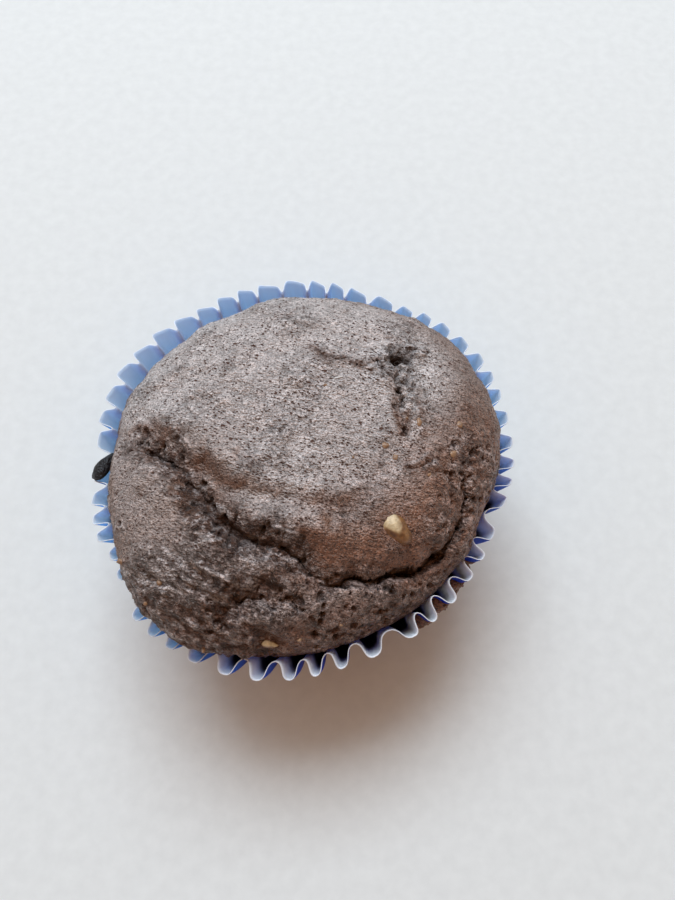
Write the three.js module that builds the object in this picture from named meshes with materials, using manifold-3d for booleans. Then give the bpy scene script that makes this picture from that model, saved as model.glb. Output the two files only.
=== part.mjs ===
// A chocolate muffin with nut pieces, baked in a pleated paper case.
// Millimetres, +Z up. The origin is the middle of the case's base, on the surface it stands on.
// -Y is the front: the crust's main fold and the largest nut piece lie on that side.

import * as THREE from "three";
import { mergeVertices } from "three/addons/utils/BufferGeometryUtils.js";
import Module from "manifold-3d";

const wasm = await Module();
wasm.setup();

// ---------------------------------------------------------------- driving dimensions

const BASE_RADIUS = 25; // flat bottom of the case
const RIM_HEIGHT = 30;
const PLEAT_DEPTH = 2.55; // ridge to valley at the rim; it fades to nothing at the base
const PLEAT_FADE = 0.8; // under 1, the pleats are already deep low on the wall
const DEPTH_WAVES = [[1, 0.25, -75]]; // deeper at the front: harmonic, amplitude in mm, degrees
const PAPER = 0.4; // thickness of the case's wall
const GAP = 0.3; // clearance between pieces that touch
const PACKED_GAP = 0.42; // the same between crumb and paper, measured along the radius
const POCKET_GAP = 0.39; // round a nut piece, whose flat faces lie inside its corners

const CRUST_TOP = 42.5; // height of the crown before its folds
const DOME_POWER = 2.3; // 2 is an ellipse, more is a flatter top with a fuller shoulder
const FLUTE_SHARE = 0.28; // how far the crumb fills the pleats, as a share of their depth

// Where each pleat stands, in degrees from +X: they are crowded here and spread there.
const PLEAT_AT = [
  6.2, 13.4, 20.4, 26, 31.9, 38.8, 45.6, 51.8, 57.7, 64.6, 74.7, 80.5, 86.6, 92.9, 102.4, 108.9,
  115.2, 122, 129, 136.6, 144, 151.6, 159.3, 166.9, 172.4, 183.5, 190.2, 196, 201, 207, 212.8,
  218.5, 224.1, 230, 235.5, 242.3, 250.8, 259.1, 267.4, 274, 281, 289.9, 302.4, 309, 316.5,
  324.8, 331.4, 338.2, 349.5, 354.5, 359.9,
];
// Ridges pressed in at the rim: the pleat's number in PLEAT_AT and the depth in mm.
const PRESSED_IN = { 29: 0.5, 30: 0.4, 31: 1.8 };

// Each list holds a value for every 15 degrees round the muffin: the rim over the ridges, the
// crown's widest radius, and the height at which the crown is widest.
const RIM_WIDE = [
  35.0, 35.6, 36.5, 35.9, 34.4, 34.3, 35.0, 34.8, 34.8, 35.7, 36.5, 35.7,
  34.3, 35.3, 34.8, 36.1, 35.6, 35.1, 34.0, 32.9, 32.8, 32.8, 32.8, 33.4,
];
const CROWN_WIDE = [
  32.0, 32.9, 33.2, 33.0, 31.6, 30.9, 31.3, 31.2, 30.9, 31.6, 32.2, 31.9,
  31.0, 31.5, 32.6, 33.2, 33.6, 31.5, 30.4, 29.5, 29.3, 29.4, 30.1, 30.2,
];
const CROWN_LOW = [
  29.6, 30.0, 28.7, 28.0, 28.4, 27.4, 26.0, 26.0, 25.7, 25.2, 24.7, 26.7,
  30.3, 31.0, 31.0, 30.5, 29.8, 27.6, 26.6, 26.2, 26.0, 26.2, 27.2, 28.6,
];

// The wall flares towards its rim at the back left and is nearly straight at the front right.
const BOW = -0.1;
const BOW_WAVES = [[1, 0.25, -30]];
const WALL_ROWS = [0, 0.3, 0.65, 1]; // heights at which the wall is drawn, as shares of RIM_HEIGHT

// Creases in the crust, as points that each passes through. depth is the middle's, width is half
// the valley's, and step is how much lower the crust lies on the left of the way they run.
const FOLDS = [
  {
    name: "main fold, under the crown's overhanging lip",
    points: [[24.4, -5], [23.2, -10], [21.3, -13.4], [18.6, -16.3], [11, -18.7], [4, -19.8], [1.2, -21.6]],
    depth: 3,
    width: 1.9,
    step: 2.6,
  },
  {
    name: "ragged crease from the left edge to the main fold",
    points: [[1.6, -17.8], [-7.2, -13.6], [-14.4, -7.2], [-20.5, -1.4], [-29, 0.4]],
    depth: 2.4,
    width: 2,
    step: 0.7,
  },
  {
    name: "soft valley across the crown",
    points: [[5, -10.8], [-1.2, -9.8], [-9.8, -7.2], [-15, -2.5]],
    depth: 0.7,
    width: 1.6,
    step: 0,
  },
  {
    name: "crease between the two lower lobes",
    points: [[-1.1, -22.6], [-8.2, -23.1], [-12, -27.8]],
    depth: 1.6,
    width: 1.5,
    step: 0.2,
  },
];
const STEP_REACH = 11; // how far from a fold its step dies away
const STEP_EDGE = 0.8; // half the width over which the step happens
const FOLD_STEPS = 60; // points drawn along each fold's curve
const FOLDS_END = 0.1; // the folds fade out over this share of the crown, at its edge

// A blowhole in the crust: a narrow pit.
const PIT = { at: [15.2, 14.5], radius: 1.3, depth: 3 };

// Nut pieces sunk in the crust: half sizes, and how far the middle lies under the crust.
const NUTS = [
  { name: "nut_piece_1", at: [14, -13.2], half: [2.9, 2.1, 1.9], turn: -42, sunk: 0.9, seed: 1 },
  { name: "nut_piece_2", at: [-4.3, -28.1], half: [1.8, 0.9, 0.9], turn: -18, sunk: 0.35, seed: 4 },
];
const NUT_ROUGHNESS = 0.14; // how uneven a nut piece is, as a share of its size

// ---------------------------------------------------------------- small helpers

const radians = THREE.MathUtils.degToRad;

// A value round the muffin: its mean and a few waves of [harmonic, amplitude, direction].
function around(angle, mean, waves) {
  return waves.reduce((sum, [k, size, way]) => sum + size * Math.cos(k * angle - radians(way)), mean);
}

function mix(a, b, t) {
  return a + (b - a) * t;
}

// A value round the muffin from a list at even angles, by a cubic through the neighbours.
function ringValue(angle, values) {
  const turns = angle / (2 * Math.PI);
  const place = (turns - Math.floor(turns)) * values.length;
  const k = Math.floor(place);
  const t = place - k;
  const [a, b, c, d] = [-1, 0, 1, 2].map((step) => values[(k + step + values.length) % values.length]);
  return b + 0.5 * t * (c - a + t * (2 * a - 5 * b + 4 * c - d + t * (3 * (b - c) + d - a)));
}

function smoothstep(t) {
  const s = Math.min(1, Math.max(0, t));
  return s * s * (3 - 2 * s);
}

// A closed body from a row of rings, each a list of points running anticlockwise from above. The
// row starts at the point `first`, ends at the point `last`, and a ring may have as many points
// as the one before it or half as many.
function closedBody(first, rings, last) {
  const points = [first, ...rings.flat(), last];
  const index = [];
  const starts = [];
  let next = 1;
  for (const ring of rings) {
    starts.push(next);
    next += ring.length;
  }
  const at = (ring, i) => starts[ring] + (i % rings[ring].length);
  rings[0].forEach((_, i) => index.push(0, at(0, i + 1), at(0, i)));
  for (let k = 0; k + 1 < rings.length; k++) {
    const count = rings[k + 1].length;
    for (let i = 0; i < count; i++) {
      if (rings[k].length === count) {
        index.push(at(k, i), at(k, i + 1), at(k + 1, i + 1));
        index.push(at(k, i), at(k + 1, i + 1), at(k + 1, i));
      } else {
        index.push(at(k, 2 * i), at(k, 2 * i + 1), at(k + 1, i));
        index.push(at(k, 2 * i + 1), at(k + 1, i + 1), at(k + 1, i));
        index.push(at(k, 2 * i + 1), at(k, 2 * i + 2), at(k + 1, i + 1));
      }
    }
  }
  const end = rings.length - 1;
  rings[end].forEach((_, i) => index.push(at(end, i), at(end, i + 1), points.length - 1));
  return new THREE.BufferGeometry().setFromPoints(points).setIndex(index);
}

function toSolid(geometry) {
  const bare = geometry.clone();
  bare.deleteAttribute("normal");
  bare.deleteAttribute("uv");
  const merged = mergeVertices(bare, 1e-4);
  return new wasm.Manifold(
    new wasm.Mesh({
      numProp: 3,
      vertProperties: merged.attributes.position.array,
      triVerts: new Uint32Array(merged.index.array),
    }),
  );
}

function toGeometry(solid) {
  const mesh = solid.getMesh();
  const position = new THREE.BufferAttribute(new Float32Array(mesh.vertProperties), mesh.numProp);
  const index = new THREE.BufferAttribute(new Uint32Array(mesh.triVerts), 1);
  return new THREE.BufferGeometry().setAttribute("position", position).setIndex(index);
}

// ---------------------------------------------------------------- the pleats, seen from above

// Four columns of points make one pleat: two on its ridge and two in its valley. `out` is 1 on
// the ridge and 0 in the valley, and `pressed` is how far a ridge is pushed in at the rim.
const COLUMNS_PER_PLEAT = 4;
const columns = [];
PLEAT_AT.forEach((here, pleat) => {
  const next = pleat + 1 < PLEAT_AT.length ? PLEAT_AT[pleat + 1] : PLEAT_AT[0] + 360;
  for (let i = 0; i < COLUMNS_PER_PLEAT; i++) {
    const angle = radians(mix(here, next, (i + 0.5) / COLUMNS_PER_PLEAT));
    const ridge = i === 0 || i === COLUMNS_PER_PLEAT - 1;
    const nearest = i === 0 ? pleat : (pleat + 1) % PLEAT_AT.length;
    columns.push({ angle, out: ridge ? 1 : 0, pressed: (ridge && PRESSED_IN[nearest]) || 0 });
  }
});

// The outer skin's radius at one of WALL_ROWS.
function rowRadius(column, share) {
  const bow = around(column.angle, BOW, BOW_WAVES);
  const opened = (1 + bow) * share - bow * share * share;
  const rim = ringValue(column.angle, RIM_WIDE);
  const depth = around(column.angle, PLEAT_DEPTH, DEPTH_WAVES) * Math.pow(share, PLEAT_FADE);
  return mix(BASE_RADIUS, rim, opened) - depth * (1 - column.out) - column.pressed * share * share;
}

// The outer skin's radius at any height: straight between the rows.
function wallRadius(column, z) {
  const share = Math.min(1, z / RIM_HEIGHT);
  const row = Math.max(0, WALL_ROWS.findIndex((limit) => share <= limit) - 1);
  const t = (share - WALL_ROWS[row]) / (WALL_ROWS[row + 1] - WALL_ROWS[row]);
  return mix(rowRadius(column, WALL_ROWS[row]), rowRadius(column, WALL_ROWS[row + 1]), t);
}

function polar(angle, radius, z) {
  return new THREE.Vector3(radius * Math.cos(angle), radius * Math.sin(angle), z);
}

// ---------------------------------------------------------------- paper case

// The ring moved inwards by the paper's thickness, square to each of its edges.
function insetRing(ring, distance) {
  return ring.map((point, i) => {
    const before = ring[(i + ring.length - 1) % ring.length];
    const after = ring[(i + 1) % ring.length];
    const edgeIn = new THREE.Vector2(point.x - before.x, point.y - before.y).normalize();
    const edgeOut = new THREE.Vector2(after.x - point.x, after.y - point.y).normalize();
    const way = new THREE.Vector2().addVectors(edgeIn, edgeOut).normalize();
    const reach = distance / Math.sqrt((1 + edgeIn.dot(edgeOut)) / 2);
    return new THREE.Vector3(point.x - way.y * reach, point.y + way.x * reach, point.z);
  });
}

function paperCase() {
  const outside = WALL_ROWS.map((share) =>
    columns.map((column) => polar(column.angle, rowRadius(column, share), share * RIM_HEIGHT)),
  );
  const inside = WALL_ROWS.map((share) => {
    const z = Math.max(PAPER, share * RIM_HEIGHT);
    return insetRing(columns.map((column) => polar(column.angle, wallRadius(column, z), z)), PAPER);
  });
  const rings = [...outside, ...inside.reverse()];
  return closedBody(new THREE.Vector3(0, 0, 0), rings, new THREE.Vector3(0, 0, PAPER));
}

// ---------------------------------------------------------------- crumb

// The crumb's radius against the paper at height z; `fluted` is 1 where it fills the pleats.
function packedRadius(column, z, fluted) {
  const valley = { angle: column.angle, out: 0, pressed: 0 };
  const depth = wallRadius(column, z) - wallRadius(valley, z);
  return wallRadius(valley, z) - PAPER - PACKED_GAP + fluted * column.out * FLUTE_SHARE * depth;
}

// Below the rim the paper's valleys hold the crust in, and above it the crust is free.
function crustRadius(column, z) {
  const free = ringValue(column.angle, CROWN_WIDE);
  return z > RIM_HEIGHT + GAP ? free : Math.min(free, packedRadius(column, z, 0));
}

const foldCurves = FOLDS.map(({ points }) => {
  const curve = new THREE.CatmullRomCurve3(points.map(([x, y]) => new THREE.Vector3(x, y, 0)));
  return curve.getPoints(FOLD_STEPS);
});

// How far (x, y) lies from a fold's line, with a minus sign on its right.
function signedDistance(x, y, line) {
  let best = { distance: Infinity, side: 1 };
  for (let i = 0; i + 1 < line.length; i++) {
    const dx = x - line[i].x;
    const dy = y - line[i].y;
    const distance = Math.hypot(dx, dy);
    if (distance < best.distance) {
      const cross = (line[i + 1].x - line[i].x) * dy - (line[i + 1].y - line[i].y) * dx;
      best = { distance, side: Math.sign(cross) || 1 };
    }
  }
  return best.distance * best.side;
}

// The folds' change to the crust's height: a valley along each line, and a step to its left.
function relief(x, y) {
  return FOLDS.reduce((sum, fold, i) => {
    const d = signedDistance(x, y, foldCurves[i]);
    const valley = fold.depth * Math.exp(-((d / fold.width) ** 2));
    const lower = smoothstep((d / STEP_EDGE + 1) / 2) * Math.exp(-Math.abs(d) / STEP_REACH);
    return sum - valley - fold.step * lower;
  }, 0);
}

// The crown over its edge, as a superellipse from the edge's height up to CRUST_TOP.
function crownHeight(share, edge) {
  return mix(edge, CRUST_TOP, Math.pow(1 - Math.pow(share, DOME_POWER), 1 / DOME_POWER));
}

// The share of the way out from the middle, and every how many columns, of each ring of the crown.
const CROWN_RINGS = [
  [0.97, 1],
  [0.92, 2],
  [0.85, 2],
  [0.77, 2],
  [0.68, 2],
  [0.58, 2],
  [0.47, 4],
  [0.34, 4],
  [0.2, 4],
  [0.08, 4],
];
const EDGE_ROLL = 1.4; // the crust's edge rises this far in its first turn, and a little less next
const SHOULDER_RISE = 1.2;

// The height where the crumb leaves the paper.
function crustEdge(angle) {
  return Math.min(ringValue(angle, CROWN_LOW), RIM_HEIGHT) - 1;
}

function crumbBody() {
  const floor = PAPER + GAP;
  const fluted = (height) =>
    columns.map((column) => {
      const z = height(column.angle);
      return polar(column.angle, packedRadius(column, z, 1), z);
    });
  const rolled = columns.map((column) => {
    const z = crustEdge(column.angle) + EDGE_ROLL;
    return polar(column.angle, packedRadius(column, Math.min(z, RIM_HEIGHT), 0), z);
  });
  const shoulderHeight = (angle) => crustEdge(angle) + EDGE_ROLL + SHOULDER_RISE;
  const shoulder = columns.map((column) => {
    const z = shoulderHeight(column.angle);
    return polar(column.angle, crustRadius(column, z), z);
  });
  const crown = CROWN_RINGS.map(([share, every]) =>
    columns
      .filter((_, i) => i % every === 0)
      .map((column) => {
        const start = shoulderHeight(column.angle);
        const point = polar(column.angle, share * crustRadius(column, start), 0);
        const fade = smoothstep((1 - share) / FOLDS_END);
        point.z = crownHeight(share, start) + fade * relief(point.x, point.y);
        return point;
      }),
  );
  const rings = [
    fluted(() => floor),
    ...WALL_ROWS.slice(1, -1).map((share) => fluted(() => share * RIM_HEIGHT)),
    fluted(crustEdge),
    rolled,
    shoulder,
    ...crown,
  ];
  const top = new THREE.Vector3(0, 0, CRUST_TOP + relief(0, 0));
  return closedBody(new THREE.Vector3(0, 0, floor), rings, top);
}

// The crust's height over (x, y).
function crustHeight(x, y) {
  const column = { angle: Math.atan2(y, x), out: 0, pressed: 0 };
  const start = crustEdge(column.angle) + EDGE_ROLL + SHOULDER_RISE;
  const share = Math.hypot(x, y) / crustRadius(column, start);
  return crownHeight(share, start) + relief(x, y);
}

// ---------------------------------------------------------------- nut pieces and the pit

// A chipped lump: a faceted ball whose corners are pushed in and out, `swell` larger all round.
function nutGeometry(nut, swell) {
  const shape = new THREE.IcosahedronGeometry(1, 1);
  shape.deleteAttribute("normal");
  shape.deleteAttribute("uv");
  const lump = mergeVertices(shape, 1e-3);
  const corners = lump.getAttribute("position");
  const corner = new THREE.Vector3();
  for (let i = 0; i < corners.count; i++) {
    corner.fromBufferAttribute(corners, i);
    const wave = Math.sin(3.1 * corner.x + nut.seed) * Math.cos(2.7 * corner.y - 1.9 * corner.z);
    corner.multiplyScalar(1 + NUT_ROUGHNESS * wave);
    corners.setXYZ(i, corner.x, corner.y, corner.z);
  }
  lump.scale(...nut.half.map((size) => size + swell));
  lump.rotateZ(radians(nut.turn));
  lump.translate(...nut.at, crustHeight(...nut.at) - nut.sunk);
  return lump;
}

function pitGeometry() {
  const drop = new THREE.IcosahedronGeometry(1, 1);
  drop.scale(PIT.radius, PIT.radius, PIT.depth);
  drop.translate(...PIT.at, crustHeight(...PIT.at));
  return drop;
}

function crumbGeometry() {
  const pockets = NUTS.map((nut) => toSolid(nutGeometry(nut, POCKET_GAP)));
  const cut = [...pockets, toSolid(pitGeometry())];
  return toGeometry(cut.reduce((solid, tool) => solid.subtract(tool), toSolid(crumbBody())));
}

// ---------------------------------------------------------------- scene graph

function mesh(name, geometry, color, roughness) {
  const material = new THREE.MeshStandardMaterial({ color, roughness, metalness: 0, flatShading: true });
  const made = new THREE.Mesh(geometry, material);
  made.name = name;
  return made;
}

const muffin = new THREE.Group();
muffin.add(mesh("paper_case", paperCase(), 0x3f5cab, 0.7));
muffin.add(mesh("crumb", crumbGeometry(), 0x5b4236, 0.9));
for (const nut of NUTS) {
  muffin.add(mesh(nut.name, nutGeometry(nut, 0), 0xd8b383, 0.6));
}

export default muffin;
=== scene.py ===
# %% [markdown]
# # A chocolate muffin in its paper case
#
# A muffin is a batter that set while it was still moving: the crown rose, tore and folded over
# itself, and the paper case held the rest in its pleats. This lesson makes the crust as one
# skin of numpy arrays, the case as one pleated sheet, and the small things that lie on them.
#
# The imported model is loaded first. It gives every piece its place and real size, and each piece
# made below stands for one of its nodes.

import itertools
import math
from types import SimpleNamespace

import bpy
import numpy as np
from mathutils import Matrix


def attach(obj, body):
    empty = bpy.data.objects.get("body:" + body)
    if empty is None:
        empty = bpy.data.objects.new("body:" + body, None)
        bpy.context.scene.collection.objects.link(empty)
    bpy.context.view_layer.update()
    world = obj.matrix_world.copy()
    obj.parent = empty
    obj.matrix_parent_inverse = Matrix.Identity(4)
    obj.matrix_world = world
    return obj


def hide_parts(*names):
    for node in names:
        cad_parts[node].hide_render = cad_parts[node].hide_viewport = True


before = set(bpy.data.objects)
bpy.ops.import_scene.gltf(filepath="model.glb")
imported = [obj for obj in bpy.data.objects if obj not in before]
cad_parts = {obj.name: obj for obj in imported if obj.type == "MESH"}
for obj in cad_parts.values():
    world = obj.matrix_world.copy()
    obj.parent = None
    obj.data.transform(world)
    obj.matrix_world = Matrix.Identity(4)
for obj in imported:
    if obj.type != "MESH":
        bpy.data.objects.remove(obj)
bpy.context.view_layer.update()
print("nodes of the frame:", sorted(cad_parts))

# %% [markdown]
# ## Units and small tools
#
# Everything is worked out in millimetres, the unit a baker would measure in, and turned to
# Blender's metres when the mesh is made. The first helpers are the ones that every shape uses.

# %% Millimetres, waves and soft steps
MM = 0.001
TURN = 2 * math.pi


def around(angle, mean, waves):
    """A value round the muffin: the mean plus, for each wave, its size times the cosine of
    its harmonic times the angle, turned to the wave's own direction in degrees."""
    return mean + sum(size * np.cos(k * angle - math.radians(way)) for k, size, way in waves)


def ring_values(angle, values):
    """A value round the muffin from a list at even angles: a Catmull-Rom cubic between each
    two neighbours, whose end slopes are half the way between the values beside them."""
    place = np.asarray(angle) / TURN * len(values) % len(values)
    k = np.floor(place).astype(int)
    t = place - k
    a, b, c, d = (np.take(values, k + step, mode="wrap") for step in (-1, 0, 1, 2))
    return b + 0.5 * t * (c - a + t * (2 * a - 5 * b + 4 * c - d + t * (3 * (b - c) + d - a)))


def smoothstep(t):
    """0 below 0, 1 above 1, and 3t squared less 2t cubed between them."""
    t = np.clip(t, 0, 1)
    return t * t * (3 - 2 * t)


def mix(a, b, t):
    """The value that lies the share t of the way from a to b."""
    return a + (b - a) * t


def hill(distance, width):
    """A bell: 1 at distance 0, falling as e to the minus (distance over width) squared."""
    return np.exp(-((distance / width) ** 2))


# %% [markdown]
# ## Randomness that repeats
#
# Crumb is never regular, but the muffin has to come out the same each time. Noise is therefore
# read from small tables of seeded numbers, and each point looks up the table by the lattice
# cell it lies in.

# %% Noise on arrays of points
TABLE = 256
JITTER = 0.45  # how far a ball's or grain's middle may lie from its cell's, in cells


def tables(seed):
    """A shuffled order of 256 numbers, and 256 random rows of six numbers from -1 to 1."""
    rng = np.random.default_rng(seed)
    return rng.permutation(TABLE), rng.uniform(-1, 1, (TABLE, 6))


def cell_number(order, cell):
    """One table number for each lattice cell, by looking the order up once for each axis."""
    mask = TABLE - 1
    return order[(order[(order[cell[:, 0] & mask] + cell[:, 1]) & mask] + cell[:, 2]) & mask]


def noise(points, size, seed):
    """Gradient noise, about -0.6 to 0.6: each corner of the lattice cell holds a slope, and
    the eight slopes' heights at the point are blended with a quintic fade."""
    order, rows = tables(seed)
    scaled = points / size
    cell = np.floor(scaled).astype(int)
    inside = scaled - cell
    fade = inside**3 * (inside * (inside * 6 - 15) + 10)
    total = np.zeros(len(points))
    for corner in itertools.product((0, 1), repeat=3):
        slopes = rows[cell_number(order, cell + corner), :3]
        weight = np.prod(np.where(corner, fade, 1 - fade), axis=1)
        total += weight * np.sum(slopes * (inside - corner), axis=1)
    return total


def rough(points, size, seed, octaves=4, gain=0.5):
    """Noise over itself: each octave is half the size of the last and `gain` times as high."""
    return sum(gain**k * noise(points, size / 2**k, seed + k) for k in range(octaves))


def pits(points, spacing, smallest, largest, share, seed):
    """Round pits: a `share` of the lattice cells hold a ball of random radius in mm, and a
    point inside one gets 1 minus (its distance over the radius) squared, else 0."""
    order, rows = tables(seed)
    cell = np.floor(points / spacing).astype(int)
    depth = np.zeros(len(points))
    for step in itertools.product((-1, 0, 1), repeat=3):
        near = cell + step
        row = rows[cell_number(order, near)]
        centre = (near + 0.5 + JITTER * row[:, :3]) * spacing
        radius = mix(smallest, largest, (0.5 + 0.5 * row[:, 3]) ** 2)
        held = (0.5 + 0.5 * row[:, 4]) < share
        away = np.sum((points - centre) ** 2, axis=1) / radius**2
        depth = np.maximum(depth, np.where(held, 1 - away, 0))
    return depth


def grains(points, size, seed):
    """Rounded grains packed side by side: 1 at a grain's middle, falling with the square of
    the distance to the nearest middle, to about 0 in the seams between grains."""
    order, rows = tables(seed)
    scaled = points / size
    cell = np.floor(scaled).astype(int)
    nearest = np.full(len(points), 9.0)
    for step in itertools.product((-1, 0, 1), repeat=3):
        near = cell + step
        centre = near + 0.5 + JITTER * rows[cell_number(order, near), :3]
        nearest = np.minimum(nearest, np.sum((scaled - centre) ** 2, axis=1))
    return 1 - nearest


# %% [markdown]
# ## From arrays to a mesh
#
# A mesh is a list of places and a list of faces. Most pieces here are a grid: rows of points,
# closed round the muffin, with a quad between each four neighbours. Making the face list with
# array arithmetic is much faster than adding faces one at a time.

# %% Grids of faces and finished pieces


def ring_quads(rows, columns, start=0):
    """Quads between rows of points that close on themselves, anticlockwise seen from outside
    when the rows climb."""
    row, column = np.meshgrid(np.arange(rows - 1), np.arange(columns), indexing="ij")
    here = start + row * columns + column
    right = start + row * columns + (column + 1) % columns
    return np.stack([here, right, right + columns, here + columns], axis=-1).reshape(-1, 4)


def fan(ring, pole, up=False):
    """Triangles from a ring of point numbers to one pole point."""
    nxt = np.roll(ring, -1)
    first, second = (ring, nxt) if up else (nxt, ring)
    return np.stack([first, second, np.full(len(ring), pole)], axis=-1)


def piece(name, points_mm, faces, *materials):
    """A mesh object at the origin from points in mm, a list of arrays of quads or triangles,
    and its materials, of which the first is the one that the faces wear."""
    mesh = bpy.data.meshes.new(name)
    sizes = np.concatenate([np.full(len(f), f.shape[1]) for f in faces])
    corners = np.concatenate([f.ravel() for f in faces]).astype(np.int32)
    mesh.vertices.add(len(points_mm))
    mesh.vertices.foreach_set("co", (np.asarray(points_mm) * MM).astype(np.float32).ravel())
    mesh.loops.add(len(corners))
    mesh.loops.foreach_set("vertex_index", corners)
    mesh.polygons.add(len(sizes))
    starts = np.concatenate([[0], np.cumsum(sizes)[:-1]]).astype(np.int32)
    mesh.polygons.foreach_set("loop_start", starts)
    mesh.update(calc_edges=True)
    mesh.validate()
    mesh.shade_smooth()
    for material in materials:
        mesh.materials.append(material)
    made = bpy.data.objects.new(name, mesh)
    bpy.context.scene.collection.objects.link(made)
    print(f"{name}: {len(points_mm)} points, {int(np.sum(sizes - 2))} triangles")
    return made


def point_values(made, name, values):
    """Stores one number for each point of a mesh, for its material to read."""
    made.data.attributes.new(name, "FLOAT", "POINT")
    made.data.attributes[name].data.foreach_set("value", values.astype(np.float32))


def normals_of(points, faces):
    """A normal for each point: the sum of the cross products of its faces' diagonals."""
    total = np.zeros_like(points)
    for f in faces:
        across = points[f[:, 2]] - points[f[:, 0]]
        other = points[f[:, -1]] - points[f[:, 1]]
        face_normal = np.cross(across, other)
        for k in range(f.shape[1]):
            for axis in range(3):
                total[:, axis] += np.bincount(f[:, k], face_normal[:, axis], len(points))
    return total / np.maximum(np.linalg.norm(total, axis=1, keepdims=True), 1e-12)


# %% [markdown]
# ## Materials: one way to add a node
#
# Each finish is a small tree of shader nodes. One helper adds a node, sets it, links it and
# hands back its outputs, for the next node to take what it needs. The node used most is Map
# Range: its inputs are a value, the range it moves in, and the range that it is moved onto and
# held in. Colours are written as the sRGB hex values that a paint program shows, and turned to
# linear light once, here.

# %% Colours and nodes


def linear(code):
    """sRGB hex to linear light: each channel over 12.92 when dark, else a power of 2.4."""
    channels = [int(code[i : i + 2], 16) / 255 for i in (1, 3, 5)]
    light = [c / 12.92 if c <= 0.04045 else ((c + 0.055) / 1.055) ** 2.4 for c in channels]
    return (*light, 1.0)


def add(tree, kind, inputs=(), **settings):
    """The outputs of a new node. Its inputs are a list, or are found by name or number, and
    each is given a value or linked from a socket."""
    made = tree.nodes.new("ShaderNode" + kind)
    for name, value in settings.items():
        setattr(made, name, value)
    for name, value in inputs.items() if isinstance(inputs, dict) else enumerate(inputs):
        if isinstance(value, bpy.types.NodeSocket):
            tree.links.new(value, made.inputs[name])
        else:
            made.inputs[name].default_value = value
    return made.outputs


def new_finish(name):
    """An empty material, its node tree and its output node."""
    material = bpy.data.materials.new(name)
    material.use_nodes = True
    material.node_tree.nodes.clear()
    return material, material.node_tree, material.node_tree.nodes.new("ShaderNodeOutputMaterial")


def per_mm(size):
    """The texture scale at which one cell of a pattern is `size` mm wide."""
    return 1 / (size * MM)


# %% [markdown]
# ## Sizes of the muffin
#
# The same few sizes that the frame was built from. The outline is not quite round, because the
# paper was pressed by its neighbours in the tin and the batter rose more on one side. So the
# rim and the crown each have a radius for every 15 degrees, and a smooth curve joins them.

# %% Driving sizes
BASE_RADIUS = 25.0
RIM_HEIGHT = 30.0
CRUST_TOP = 42.5
DOME_POWER = 2.3  # 2 is an ellipse, more is a flatter top with a fuller shoulder
BOW = -0.1  # how far the wall bows outwards, as a share of its spread; under 0 is inwards
BOW_WAVES = [(1, 0.25, -30)]  # it bows more on one side: harmonic, share, degrees
PLEAT_DEPTH = 2.55
PLEAT_FADE = 0.8  # under 1, the pleats are already deep low on the wall
DEPTH_WAVES = [(1, 0.25, -75)]  # they are deeper in front: harmonic, mm, degrees

# where each pleat stands, in degrees round the case
PLEAT_AT = [6.2, 13.4, 20.4, 26, 31.9, 38.8, 45.6, 51.8, 57.7, 64.6, 74.7, 80.5, 86.6, 92.9, 102.4,
            108.9, 115.2, 122, 129, 136.6, 144, 151.6, 159.3, 166.9, 172.4, 183.5, 190.2, 196,
            201, 207, 212.8, 218.5, 224.1, 230, 235.5, 242.3, 250.8, 259.1, 267.4, 274, 281,
            289.9, 302.4, 309, 316.5, 324.8, 331.4, 338.2, 349.5, 354.5, 359.9]

# one value for each 15 degrees: the rim's radius over the pleats' tips, the crown's widest
# radius, and the height at which the crown is widest
RIM_WIDE = [35.0, 35.6, 36.5, 35.9, 34.4, 34.3, 35.0, 34.8, 34.8, 35.7, 36.5, 35.7,
            34.3, 35.3, 34.8, 36.1, 35.6, 35.1, 34.0, 32.9, 32.8, 32.8, 32.8, 33.4]
CROWN_WIDE = [32.0, 32.9, 33.2, 33.0, 31.6, 30.9, 31.3, 31.2, 30.9, 31.6, 32.2, 31.9,
              31.0, 31.5, 32.6, 33.2, 33.6, 31.5, 30.4, 29.5, 29.3, 29.4, 30.1, 30.2]
CROWN_LOW = [29.6, 30.0, 28.7, 28.0, 28.4, 27.4, 26.0, 26.0, 25.7, 25.2, 24.7, 26.7,
             30.3, 31.0, 31.0, 30.5, 29.8, 27.6, 26.6, 26.2, 26.0, 26.2, 27.2, 28.6]

print("rim over the pleats' tips: %.1f mm across" % (2 * np.mean(RIM_WIDE)))

# %% [markdown]
# ## The case, as a function of two numbers
#
# A baking case starts as a flat disc of thin greaseproof paper, pressed between two fluted
# dies. Its wall is then a curve carried upwards: at any height it is a wave round the cup, and
# the wave grows from nothing at the base to its full depth at the rim. So one function gives
# the whole wall, from u, which counts pleats round the cup, and v, which climbs it.
#
# A plain cosine would give pointed-looking pleats with lazy flanks. Pressed paper has round
# tips and steep flanks, so the points are also slid sideways, with twice the pleat's
# frequency, which crowds them on the tips' shoulders and stands the flanks up.
#
# On the far side the crown leans on the paper and has opened the pleats to broad petals with
# narrow valleys, so there the valleys are pinched shut and each petal is pulled a little to one
# side. In front two groups of pleats lean over at the rim, where fingers held them.

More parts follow.
